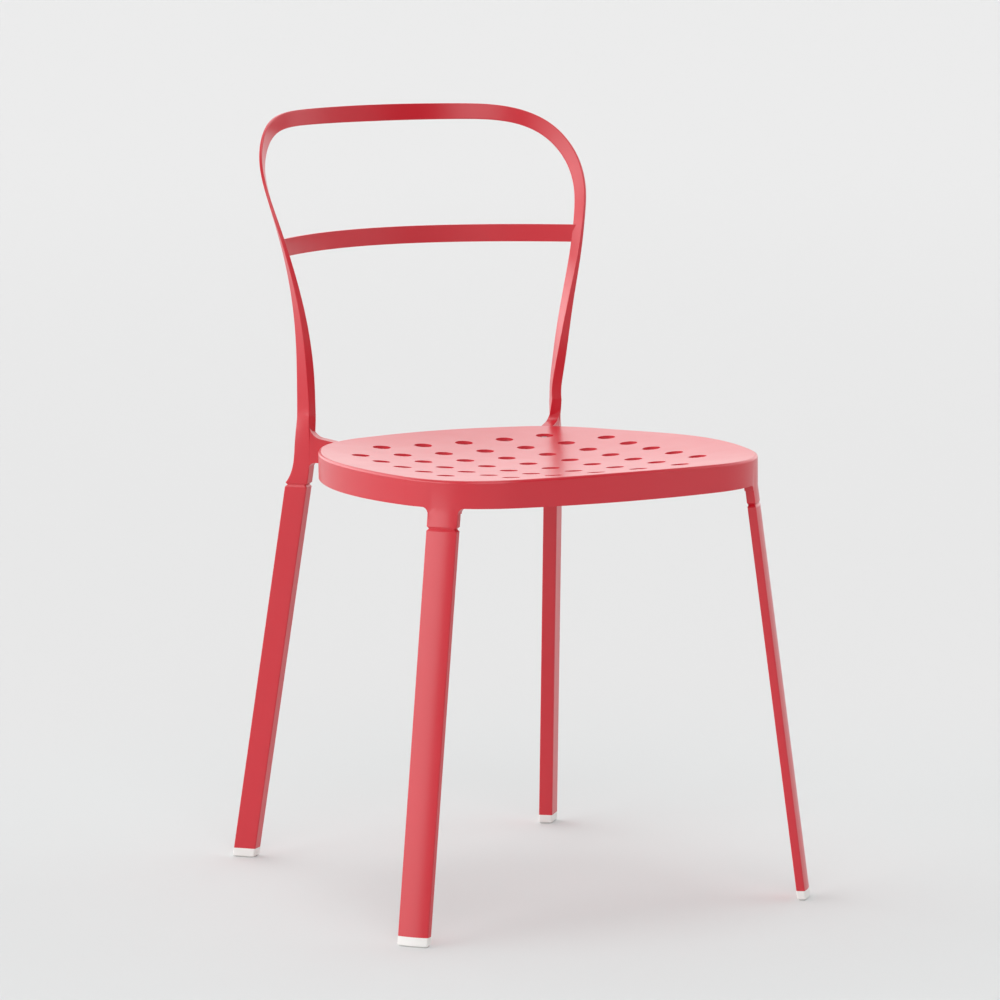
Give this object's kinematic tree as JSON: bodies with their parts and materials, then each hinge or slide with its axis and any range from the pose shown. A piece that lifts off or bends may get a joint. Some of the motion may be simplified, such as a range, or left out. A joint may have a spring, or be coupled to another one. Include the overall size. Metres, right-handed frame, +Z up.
{
  "type": "dining chair",
  "caption": "Painted metal dining chair with a dished, perforated seat, splayed flat legs and an open back of twisted flat bar with one slat.",
  "frame": {"origin": "on the floor, below the middle of the box round the whole chair", "axes": "+Z up, -Y towards the front of the seat, +X to the sitter's left"},
  "size_m": [0.4682, 0.5429, 0.7891],
  "materials": {
    "red_paint": "satin powder coat",
    "white_plastic": "moulded, matt",
    "steel": "plain"
  },
  "bodies": {
    "root": {"seat_pan": "red_paint", "back_hoop": "red_paint", "back_slat": "red_paint", "rear_knuckle_left": "red_paint", "rear_knuckle_right": "red_paint", "front_leg_left": "red_paint", "front_leg_right": "red_paint", "rear_leg_left": "red_paint", "rear_leg_right": "red_paint", "front_glide_left": "white_plastic", "front_glide_right": "white_plastic", "rear_glide_left": "white_plastic", "rear_glide_right": "white_plastic", "front_leg_screws_left": "steel", "front_leg_screws_right": "steel", "rear_leg_screws_left": "steel", "rear_leg_screws_right": "steel", "arm_screws_left": "steel", "arm_screws_right": "steel", "hoop_grub_screws_left": "steel", "hoop_grub_screws_right": "steel"}
  },
  "joints": []
}
